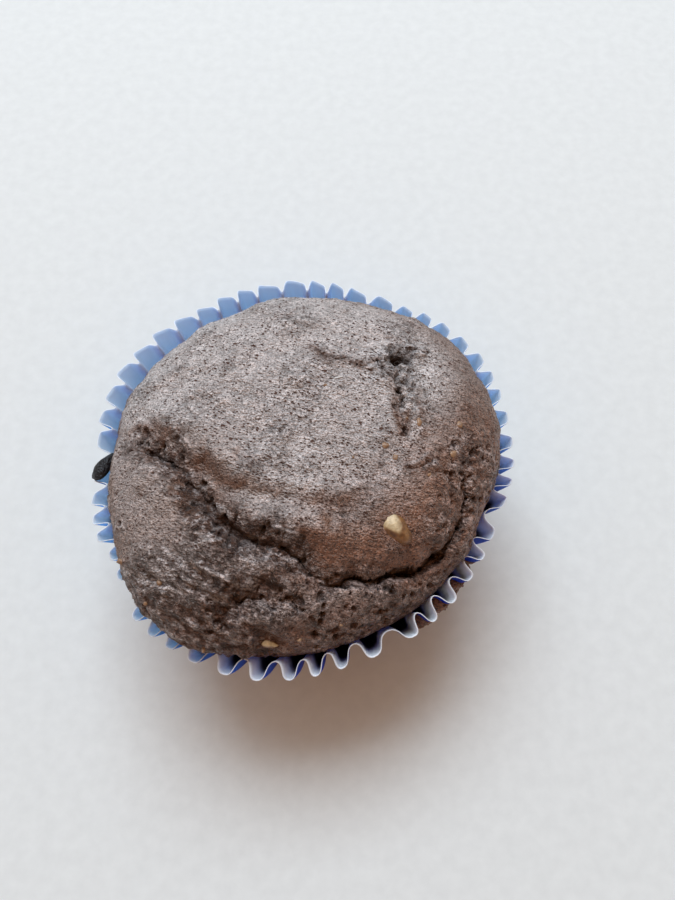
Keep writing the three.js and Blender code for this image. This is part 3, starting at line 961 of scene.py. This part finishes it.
def crumb_patterns(tree):
    """A socket for each pattern of the crumb, by name."""
    on = SimpleNamespace()
    for name in ("tear", "pit", "grain", "pale"):
        setattr(on, name, add(tree, "Attribute", attribute_name=name)["Fac"])
    place = add(tree, "TexCoord")["Object"]
    push = add(tree, "TexNoise", {"Vector": place, "Scale": per_mm(0.8), "Detail": 1.0})["Color"]
    flow = add(tree, "Mapping", {"Vector": place, "Rotation": (0, 0, math.radians(FLOW_TURN)),
               "Scale": FLOW_STRETCH}, vector_type="TEXTURE")[0]
    bent = add(tree, "VectorMath", [push, (BEND * MM,) * 3, flow], operation="MULTIPLY_ADD")[0]
    for name, where, size, detail, roughness in (
            ("mottle", place, 3.5, 5.0, 0.7), ("dust", place, 0.24, 1.0, 0.5),
            ("crumbs", bent, 1.7, 5.0, 0.68), ("crowd", place, 4.5, 3.0, 0.6)):
        setattr(on, name, add(tree, "TexNoise", {"Vector": where, "Scale": per_mm(size),
                "Detail": detail, "Roughness": roughness})["Fac"])
    for name, size in (("lumps", 0.6), ("beads", 0.34)):
        far = add(tree, "TexVoronoi", {"Vector": bent, "Scale": per_mm(size)})["Distance"]
        setattr(on, name, add(tree, "Math", [far, far], operation="MULTIPLY")[0])
    many = add(tree, "MapRange", [on.crowd, 0.38, 0.6, 0.25, 0.95])[0]
    few = add(tree, "MapRange", [on.crowd, 0.44, 0.6, 0.08, 0.7])[0]
    on.pins = add(tree, "Math", [scatter(tree, bent, 0.5, 0.14, many),
                  scatter(tree, bent, 1.1, 0.23, few)], operation="MAXIMUM")[0]
    on.front = add(tree, "MapRange", [towards_light(tree, place), -24 * MM, -6 * MM, 1, 0])[0]
    return on


# %% [markdown]
# The colour starts as cocoa brown, mottled between two tones. Over it lie, in turn, the warmer
# torn crumb, which also paints the forward flanks in shade, a painted sheen that is palest on
# the tops of the lumps, painted glints on the clumps, and away from the window a warmer brown, a
# painted warm shade. Then the whole is multiplied by a painted shade of the relief, darker in the
# seams between lumps and lighter on raised clumps. Last comes painted shade in the hollows: brown
# at the pinprick pores, and nearly black in the deep pores, the blowhole, the deepest folds and
# the hollows between clumps.

# %% Colour of the crumb


def crumb_color(tree, on):
    """The colour at each point: tones laid over each other by shares, painted sheen, glints and
    warm shade among them, times a painted shade of the relief.
    """
    # Painted highlight: the tops of raised lumps, where the crumb is grainy, are added to the
    # painted sheen.
    lit_tops = add(tree, "MapRange", [on.lumps, 0.02, 0.3, 1, 0])[0]
    raised = add(tree, "MapRange", [on.crumbs, 0.42, 0.58, 0.2, 1])[0]
    lit_tops = add(tree, "Math", [lit_tops, raised], operation="MULTIPLY")[0]
    half_grain = add(tree, "MapRange", [on.grain, 0.45, 0.9, 0, 0.5])[0]
    lit_tops = add(tree, "Math", [lit_tops, half_grain], operation="MULTIPLY")[0]
    sheen_and_lit_tops = add(tree, "Math", [on.pale, 0.74, lit_tops], operation="MULTIPLY_ADD", use_clamp=True)[0]
    # Painted glints on the raised clumps, stronger where the crumb is grainy.
    clumps = add(tree, "MapRange", [on.crumbs, 0.5, 0.58])[0]
    glint_share = add(tree, "MapRange", [on.grain, 0.3, 0.8, 0, 0.8])[0]
    painted_glints = add(tree, "Math", [clumps, glint_share], operation="MULTIPLY")[0]
    # Painted warm shade on the side away from the window.
    warm_shade = add(tree, "Math", [on.front, 0.45], operation="MULTIPLY")[0]
    mottled = add(tree, "MapRange", [on.mottle, 0.35, 0.68])[0]
    skin = linear("#684839")
    for share, color in ((mottled, "#8b6f61"), (on.tear, "#8d5f47"), (sheen_and_lit_tops, "#d4cccb"),
                         (painted_glints, "#d2c7c5"), (warm_shade, "#a46b4e")):
        skin = add(tree, "Mix", {0: share, 6: skin, 7: linear(color)}, data_type="RGBA")[2]
    skin = add(tree, "HueSaturation", {"Value": painted_relief_shade(tree, on), "Color": skin})[0]
    # Painted shade in the hollows between clumps, where the crumb is grainy.
    hole_shade = add(tree, "MapRange", [on.crumbs, 0.37, 0.44, 1, 0])[0]
    open_grain = add(tree, "MapRange", [on.grain, 0.4, 0.9, 0, 0.95])[0]
    hole_shade = add(tree, "Math", [hole_shade, open_grain], operation="MULTIPLY")[0]
    dark = add(tree, "Math", [on.pit, hole_shade], operation="MAXIMUM", use_clamp=True)[0]
    # Painted shade: brown in the pinprick pores, nearly black in the pits, the blowhole, the folds
    # and the hollows between clumps.
    for share, color in ((on.pins, "#4b2c21"), (dark, "#2b150e")):
        skin = add(tree, "Mix", {0: share, 6: skin, 7: linear(color)}, data_type="RGBA")[2]
    return skin


def painted_relief_shade(tree, on):
    """A painted shade of the relief, about 1: the product of a tone for the dust, one for the
    clumps, darker where they sink and lighter where they rise, and one for the lumps, darker in
    their seams, the last two stronger where it is grainy."""
    dusty = add(tree, "MapRange", [on.dust, 0.35, 0.62, 0.5, 1.18])[0]
    sunk, raised, seam = (add(tree, "MapRange", [on.grain, 0, 1, smooth, rough_skin])[0]
                          for smooth, rough_skin in ((0.86, 0.34), (1.1, 1.5), (0.9, 0.45)))
    clumped = add(tree, "MapRange", [on.crumbs, 0.34, 0.62, sunk, raised])[0]
    lumped = add(tree, "MapRange", [on.lumps, 0.05, 0.4, 1.1, seam])[0]
    shade = add(tree, "Math", [dusty, clumped], operation="MULTIPLY")[0]
    return add(tree, "Math", [shade, lumped], operation="MULTIPLY")[0]


# %% [markdown]
# All heights are in millimetres, summed, and given to one bump. The gloss is a fat film's:
# smoother where the crust is grainy and in front, rougher where it is torn and in the pores.
# The sheen is kept low and cool, as dust scatters a window's light.

# %% Crumb finish


def crumb_height(tree, on):
    """The sum of each pattern times its height in mm."""
    deep = add(tree, "MapRange", [on.grain, 0.2, 0.9, -0.12, -0.5])[0]
    clump_mm = add(tree, "MapRange", [on.grain, 0.2, 0.8, 0.2, 2.6])[0]
    height = add(tree, "Math", [on.lumps, deep], operation="MULTIPLY")[0]
    for pattern, mm in ((on.beads, -0.25), (on.crumbs, clump_mm), (on.dust, 0.15), (on.pins, -0.3)):
        height = add(tree, "Math", [pattern, mm, height], operation="MULTIPLY_ADD")[0]
    return height


def crumb_finish():
    """Baked cocoa crumb: dark skin, warmer where torn, darkest in its pores."""
    material, tree, out = new_finish("baked_cocoa_crumb")
    on = crumb_patterns(tree)
    gloss = add(tree, "MapRange", [on.grain, 0.3, 0.8, 0.46, 0.22])[0]
    for pattern, more in ((on.pins, 0.4), (on.tear, 0.2), (on.front, -0.12)):
        gloss = add(tree, "Math", [pattern, more, gloss], operation="MULTIPLY_ADD")[0]
    bump = add(tree, "Bump", {"Height": crumb_height(tree, on), "Distance": MM})[0]
    body = add(tree, "BsdfPrincipled", {"Base Color": crumb_color(tree, on), "Normal": bump,
               "Roughness": gloss, "IOR": 1.5, "Specular IOR Level": 0.85,
               "Specular Tint": linear("#ffeadd"), "Sheen Weight": 0.05,
               "Sheen Roughness": 0.4, "Sheen Tint": linear("#e8eefa")})[0]
    tree.links.new(body, out.inputs["Surface"])
    return material


cocoa_crumb = crumb_finish()
print("nodes of the crumb's finish:", len(cocoa_crumb.node_tree.nodes))

# %% Crumb piece
crumb = piece("crumb_and_crust", crumb_points, [faces_top, joint, side, bottom], cocoa_crumb)
hidden = np.zeros(len(crumb_points) - len(crust_points))
for name, values in (("tear", torn), ("pit", painted_dark_shade), ("grain", grained), ("pale", painted_sheen)):
    point_values(crumb, name, np.concatenate([values, hidden]))
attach(crumb, "root")
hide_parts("crumb")

# %% [markdown]
# ## Nuts and small pieces
#
# The two chopped nuts, and the chips round them, are all broken lumps. A broken lump is what is
# left between a handful of flat cuts, so its surface is found from the middle: along each
# direction it ends at the nearest cut. A high power mean of the cuts rounds the edges.

# %% Broken lumps
LUMP_ROWS, LUMP_COLUMNS = 26, 36
CUTS, CUT_FROM, CUT_TO = 11, 0.75, 1.1  # how many cuts, and how far out they lie
LOOK_ROUND = 0.35  # mm round a place in which the crust's height is looked up


def lump(seed, rows=LUMP_ROWS, columns=LUMP_COLUMNS, edge=9):
    """Points of a lump about 1 across the half, row by row from its lower pole to its upper:
    the sum of each cut's nearness to the power `edge`, to the power of -1 over `edge`."""
    rng = np.random.default_rng(seed)
    climb = np.linspace(-1, 1, rows + 2) * math.pi / 2
    up, turn = np.meshgrid(climb, np.arange(columns) / columns * TURN, indexing="ij")
    way = np.stack([np.cos(up) * np.cos(turn), np.cos(up) * np.sin(turn), np.sin(up)], axis=-1)
    way = way.reshape(-1, 3)
    planes = rng.normal(size=(CUTS, 3))
    planes = planes / np.linalg.norm(planes, axis=1, keepdims=True)
    planes = planes / rng.uniform(CUT_FROM, CUT_TO, (CUTS, 1))
    planes = np.concatenate([planes, np.eye(3), -np.eye(3)])
    reach = np.sum(np.maximum(way @ planes.T, 0) ** edge, axis=1) ** (-1 / edge)
    reach = reach * (1 + 0.1 * rough(way + seed, 0.7, seed, 3))
    points = way * reach[:, None]
    return points[columns - 1 : len(points) - columns + 1]


def lump_faces(rows=LUMP_ROWS, columns=LUMP_COLUMNS):
    """Quads and fans for a lump whose first and last points are its poles."""
    top = 1 + (rows - 1) * columns
    return [ring_quads(rows, columns, 1), fan(1 + np.arange(columns), 0),
            fan(top + np.arange(columns), top + columns, up=True)]


def turned(angles):
    """A rotation matrix from degrees about x, then y, then z."""
    a, b, c = np.radians(angles)
    x = np.array([[1, 0, 0], [0, math.cos(a), -math.sin(a)], [0, math.sin(a), math.cos(a)]])
    y = np.array([[math.cos(b), 0, math.sin(b)], [0, 1, 0], [-math.sin(b), 0, math.cos(b)]])
    z = np.array([[math.cos(c), -math.sin(c), 0], [math.sin(c), math.cos(c), 0], [0, 0, 1]])
    return z @ y @ x


def on_crust(x, y):
    """The highest crust point near a place, as an array of x, y and z."""
    near = beside(crust_points, (x, y)) < LOOK_ROUND
    return np.array([x, y, crust_points[near, 2].max()])


# %% [markdown]
# ### Finish: chopped nut
#
# A broken face of nut is matt cream. Where oil and cocoa have soaked in it is amber, and the
# thin skin that still sits on some chips is brown. The flesh has a grain of about half a
# millimetre, which takes the shine off its faces.

# %% Nut finish


def nut_finish(name, cream, amber, skin):
    """Chopped nut: the attribute `cut` is 1 on the clean broken face and 0 on the soaked sides."""
    material, tree, out = new_finish(name)
    place = add(tree, "TexCoord")["Object"]
    cut = add(tree, "Attribute", attribute_name="cut")["Fac"]
    grain = add(tree, "TexNoise", {"Vector": place, "Scale": per_mm(0.5), "Detail": 4.0})["Fac"]
    soak = add(tree, "TexNoise", {"Vector": place, "Scale": per_mm(1.6), "Detail": 3.0})["Fac"]
    soak = add(tree, "MapRange", [soak, 0.35, 0.65])[0]
    color = linear(skin)
    for share, tone in ((soak, amber), (cut, cream)):
        color = add(tree, "Mix", {0: share, 6: color, 7: linear(tone)}, data_type="RGBA")[2]
    shade = add(tree, "MapRange", [grain, 0.3, 0.7, 0.75, 1.2])[0]
    color = add(tree, "HueSaturation", {"Value": shade, "Color": color})[0]
    bump = add(tree, "Bump", {"Height": grain, "Distance": 0.12 * MM})[0]
    body = add(tree, "BsdfPrincipled", {"Base Color": color, "Roughness": 0.42, "Normal": bump})[0]
    tree.links.new(body, out.inputs["Surface"])
    return material


nut_flesh = nut_finish("chopped_nut_flesh", "#c9b18a", "#8f6438", "#654025")
nut_chip = nut_finish("soaked_nut_chip", "#ae8a68", "#906d52", "#745542")

# %% The two nuts


def nut(name, seed, middle, half, turn, cut_way):
    """One nut: a lump of the given half sizes, with the number that says where its cut face is."""
    points = lump(seed, edge=4.5) * half @ turned(turn).T + middle
    faces = lump_faces()
    made = piece(name, points, faces, nut_flesh)
    facing = normals_of(points, faces) @ (np.array(cut_way) / np.linalg.norm(cut_way))
    point_values(made, "cut", past(facing, 0.68, 0.24))
    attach(made, "root")
    return made


first_nut = nut("chopped_nut_1", 21, on_crust(14.1, -12.9) + (0, 0, -1.1),
                half=(3.8, 2.8, 1.9), turn=(-24, 14, -42), cut_way=(-0.35, 0.25, 0.9))
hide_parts("nut_piece_1")
second_nut = nut("chopped_nut_2", 34, on_crust(-4.3, -28.8) + (0, -0.1, -0.55),
                 half=(1.5, 0.85, 0.8), turn=(20, 8, -18), cut_way=(0, -0.3, 0.95))
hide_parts("nut_piece_2")

# %% [markdown]
# The chips are the same lumps with a few dozen faces each, joined into one mesh. Each is turned
# its own way, a little flat, and sunk into the crust by about half its size.

# %% Chips in the crust
CHIPS = [(12.5, -1.2, 0.85), (14.1, -2.9, 0.75), (17.8, 2.8, 0.7), (24.1, 3.0, 0.75),
         (23.0, -1.7, 0.8), (19.2, -5.2, 0.42), (3.7, 8.3, 0.35), (-20.2, -20.7, 0.45),
         (-26.9, -17.2, 0.75), (-14.2, -29.8, 0.45), (0.1, -28.5, 0.45), (7.9, -3.1, 0.25),
         (16.1, 3.5, 0.25), (-22.5, -23.5, 0.35), (6.1, -26.5, 0.3)]  # x, y and half size in mm
CHIP_ROWS, CHIP_COLUMNS = 7, 10
CHIP_SEED, CHIP_SHAPES = 500, 7
SUNK, FLAT = 0.55, 0.7  # shares of the half size


def make_chips(name):
    """All chips as one mesh, each a lump of its own half size, turned at random."""
    rng = np.random.default_rng(CHIP_SEED)
    made, faces = [], [[] for _ in range(3)]
    for k, (x, y, half) in enumerate(CHIPS):
        shape = lump(CHIP_SEED + k % CHIP_SHAPES, CHIP_ROWS, CHIP_COLUMNS)
        shape = shape * half * np.array([1, rng.uniform(0.6, 0.95), FLAT])
        turn = turned(rng.uniform(-25, 25, 3) + (0, 0, rng.uniform(0, 360)))
        start = sum(map(len, made))
        made.append(shape @ turn.T + (on_crust(x, y) - (0, 0, SUNK * half)))
        for kind, f in zip(faces, lump_faces(CHIP_ROWS, CHIP_COLUMNS)):
            kind.append(f + start)
    return piece(name, np.concatenate(made), [np.concatenate(f) for f in faces], nut_chip)


chips = make_chips("nut_chips")
point_values(chips, "cut", np.random.default_rng(9).uniform(0, 0.7, len(chips.data.vertices)))
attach(chips, "root")

# %% [markdown]
# ## What ran over the rim
#
# A little batter ran over the rim and baked onto the outside of the case. At the front right it
# fills the outer valleys, so its skin spans from ridge to ridge. It is a closed loop carried
# along the wall: out over the batter's skin and back just inside the paper.

# %% Batter on the outside
SPILL_COLUMNS, SPILL_ROWS = 40, 26  # for each pleat, and from the lower edge to the upper
SPILL_BACK = 0.07  # mm inside the paper's outer face


def loop_faces(loops):
    """The points and faces of loops carried along a path, closed at both ends by a fan."""
    count, around_loop = loops.shape[:2]
    middles = [loops[0].mean(0, keepdims=True), loops[-1].mean(0, keepdims=True)]
    points = np.concatenate([loops.reshape(-1, 3), *middles])
    first_loop = np.arange(around_loop)
    last_loop = first_loop + (count - 1) * around_loop
    return points, [ring_quads(count, around_loop), fan(first_loop, len(points) - 2),
                    fan(last_loop, len(points) - 1, up=True)]


def spill(name, first, last, low, high, proud, material):
    """Batter between the pleats numbered first and last and the heights low and high: its
    section bulges as a half ellipse from the paper to `proud` mm outside the ridges."""
    u = np.linspace(first, last, int((last - first) * SPILL_COLUMNS))
    u, t = np.meshgrid(u, np.linspace(0, 1, SPILL_ROWS), indexing="ij")
    line = np.stack([u.ravel(), 0 * u.ravel(), 0 * u.ravel()], axis=-1)
    low_edge = low + 7 * (noise(line, 0.9, 151) + 0.3).reshape(u.shape)
    high_edge = high + 2.5 * noise(line, 0.7, 152).reshape(u.shape)
    v = mix(np.minimum(low_edge, high_edge - 1.5), high_edge, t) / RIM_HEIGHT
    x, y, z = wall_point(u, v)
    angle, wall = np.arctan2(y, x), np.hypot(x, y)
    ends = past(u, first, 0.7) * past(-u, -last, 0.7)
    bulge = np.sqrt(1 - (2 * t - 1) ** 2) * ends
    uneven = rough(np.stack([x, y, z], axis=-1).reshape(-1, 3), 1.6, 150, 3).reshape(u.shape)
    skin = mix(wall, wall_ridge(angle, v) + proud + 0.9 * uneven, bulge)
    radius = np.concatenate([np.maximum(skin, wall), (wall - SPILL_BACK)[:, ::-1]], axis=1)
    turn = np.concatenate([angle, angle[:, ::-1]], axis=1)
    height = np.concatenate([z, z[:, ::-1]], axis=1)
    loops = np.stack([radius * np.cos(turn), radius * np.sin(turn), height], axis=-1)
    points, faces = loop_faces(loops)
    made = piece(name, points, faces, material)
    # The pit share of 0.35 darkens the whole spill with the crumb's pit colour, a painted shade.
    for kind, value in (("grain", 0.3), ("tear", 1.0), ("pit", 0.35)):
        point_values(made, kind, np.full(len(points), value))
    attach(made, "root")


spill("baked_spill", 41.9, 46.1, 22.5, 27.6, 0.45, cocoa_crumb)

# %% [markdown]
# At the left a drop of batter set on the rim and burnt almost black: sugar and cocoa char to a
# hard, half glossy skin. A fibre of white cotton, 1.5 mm long, lies on the crown.

# %% Burnt drop and fibre


def plain_finish(name, color, roughness, grain_mm, height):
    """One colour with a fine uneven surface."""
    material, tree, out = new_finish(name)
    place = add(tree, "TexCoord")["Object"]
    grain = add(tree, "TexNoise", {"Vector": place, "Scale": per_mm(grain_mm), "Detail": 2.0})["Fac"]
    bump = add(tree, "Bump", {"Height": grain, "Distance": height * MM})[0]
    body = add(tree, "BsdfPrincipled", {"Base Color": linear(color), "Roughness": roughness,
               "Normal": bump})[0]
    tree.links.new(body, out.inputs["Surface"])
    return material


def small_lump(name, seed, middle, half, turn, material, taper=0.0):
    """A single broken lump that lies on another piece, narrower towards y by the taper."""
    shape = lump(seed)
    shape = shape * (1 - taper * shape[:, 1:2] * [1, 0, 1])
    made = piece(name, shape * half @ turned(turn).T + middle, lump_faces(), material)
    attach(made, "root")


burnt = plain_finish("burnt_batter", "#0f0b12", 0.5, 0.45, 0.5)
white_fibre = plain_finish("white_fibre", "#f4f4f2", 0.6, 0.3, 0.0)
small_lump("burnt_drop", 61, (-32.9, -0.9, 30.0), half=(1.2, 2.7, 1.0), turn=(0, 12, -28),
           material=burnt, taper=0.45)
small_lump("fibre", 62, on_crust(5.8, 9.7) + (0, 0, 0.05), half=(0.75, 0.07, 0.07),
           turn=(0, 0, 14), material=white_fibre)

# %% [markdown]
# ## Table, light and camera
#
# The muffin stands on a table under one large window. The table is a sheet of uncoated paper:
# matt, almost white, with fibres that cloud it a little.

# %% Floor
FLOOR_DROP = 0.03  # mm, so that the case's flat base and the floor don't share a plane
FLOOR_HALF = 3000.0  # mm


def floor_finish():
    """Pale uncoated paper, almost white."""
    material, tree, out = new_finish("pale_uncoated_paper")
    place = add(tree, "TexCoord")["Object"]
    fibres = add(tree, "TexNoise", {"Vector": place, "Scale": per_mm(2.5), "Detail": 4.0})["Fac"]
    tone = add(tree, "MapRange", [fibres, 0.3, 0.7, 0.965, 1.025])[0]
    color = add(tree, "HueSaturation", {"Value": tone, "Color": linear("#dfe2e2")})[0]
    body = add(tree, "BsdfPrincipled", {"Base Color": color, "Roughness": 0.85})[0]
    tree.links.new(body, out.inputs["Surface"])
    return material


corners = [(-1, -1), (1, -1), (1, 1), (-1, 1)]
floor = piece("floor", [(x * FLOOR_HALF, y * FLOOR_HALF, -FLOOR_DROP) for x, y in corners],
              [np.array([[0, 1, 2, 3]])], floor_finish())

# %% [markdown]
# The light is one large window behind and a little to the left, with a cool white sky in it. An
# area light of its size and distance gives the shadow the right soft edge.

# %% Window


def window(name, azimuth, elevation, distance, width, height, power, color):
    """An area light of a size and distance in mm, that looks at the muffin from a direction in
    degrees: its place is the distance times the direction's cosines and sines."""
    data = bpy.data.lights.new(name, "AREA")
    data.shape = "RECTANGLE"
    data.size = width * MM
    data.size_y = height * MM
    data.energy = power
    data.color = linear(color)[:3]
    made = bpy.data.objects.new(name, data)
    bpy.context.scene.collection.objects.link(made)
    a, e, r = math.radians(azimuth), math.radians(elevation), distance * MM
    made.location = r * math.cos(a) * math.cos(e), r * math.sin(a) * math.cos(e), r * math.sin(e)
    made.rotation_euler = (math.pi / 2 - e, 0, a + math.pi / 2)


window("window", azimuth=100, elevation=56, distance=1300, width=900, height=560, power=15.2,
       color="#e6f4ff")

# %% [markdown]
# The room is painted on the world: cool towards the window, warm behind the camera, pale near
# the horizon, and brighter in one wide patch, the window's own wall.

# %% Room
ROOM_COOL, ROOM_WARM, ROOM_PALE = linear("#d4ecfa"), linear("#cc8b42"), linear("#e2e3e2")
BRIGHT_WAY = (-0.37, 0.69, 0.62)


def room(strength, bright):
    """The world's colour in each direction, from soft steps of its y, its z and its cosine
    with the way to the bright patch."""
    world = bpy.data.worlds.new("room")
    world.use_nodes = True
    tree = world.node_tree
    way = add(tree, "TexCoord")["Generated"]
    axes = add(tree, "SeparateXYZ", [way])
    facing = add(tree, "VectorMath", [way, BRIGHT_WAY], operation="DOT_PRODUCT")["Value"]
    ahead, low, patch = (
        add(tree, "MapRange", [value, start, end, 0, most], interpolation_type="SMOOTHSTEP")[0]
        for value, start, end, most in ((axes["Y"], -0.1, 0.8, 1), (axes["Z"], 0.62, 0.3, 1),
                                        (facing, 0.55, 1.0, bright)))
    color = ROOM_WARM
    for share, other, how in ((ahead, ROOM_COOL, "MIX"), (low, ROOM_PALE, "MIX"),
                              (patch, ROOM_COOL, "ADD")):
        color = add(tree, "Mix", {0: share, 6: color, 7: other}, data_type="RGBA", blend_type=how)[2]
    background = tree.nodes["Background"]
    background.inputs["Strength"].default_value = strength
    tree.links.new(color, background.inputs["Color"])
    return world


bpy.context.scene.world = room(strength=0.64, bright=0.7)
bpy.context.scene.view_settings.view_transform = "Standard"
bpy.context.scene.view_settings.look = "None"
print("nodes of the room:", len(bpy.context.scene.world.node_tree.nodes))

# %% [markdown]
# The camera is a phone held close, looking steeply down from the front, a little to the right.

# %% Camera
CAMERA_AT = (5.59, -34.18, 136.1)  # mm
CAMERA_DOWN = 71.11  # degrees below the horizon
SENSOR, LENS = 36, 27  # mm: a full frame's long side, and the wide lens of a phone beside it
NEAREST = 5  # mm, nearer than this nothing is drawn

camera_data = bpy.data.cameras.new("phone")
camera_data.sensor_width = SENSOR
camera_data.lens = LENS
camera_data.clip_start = NEAREST * MM
camera = bpy.data.objects.new("phone", camera_data)
bpy.context.scene.collection.objects.link(camera)
camera.location = [c * MM for c in CAMERA_AT]
camera.rotation_euler = (math.radians(90 - CAMERA_DOWN), 0, 0)
bpy.context.scene.camera = camera
print("camera: %.0f mm over the table" % CAMERA_AT[2])
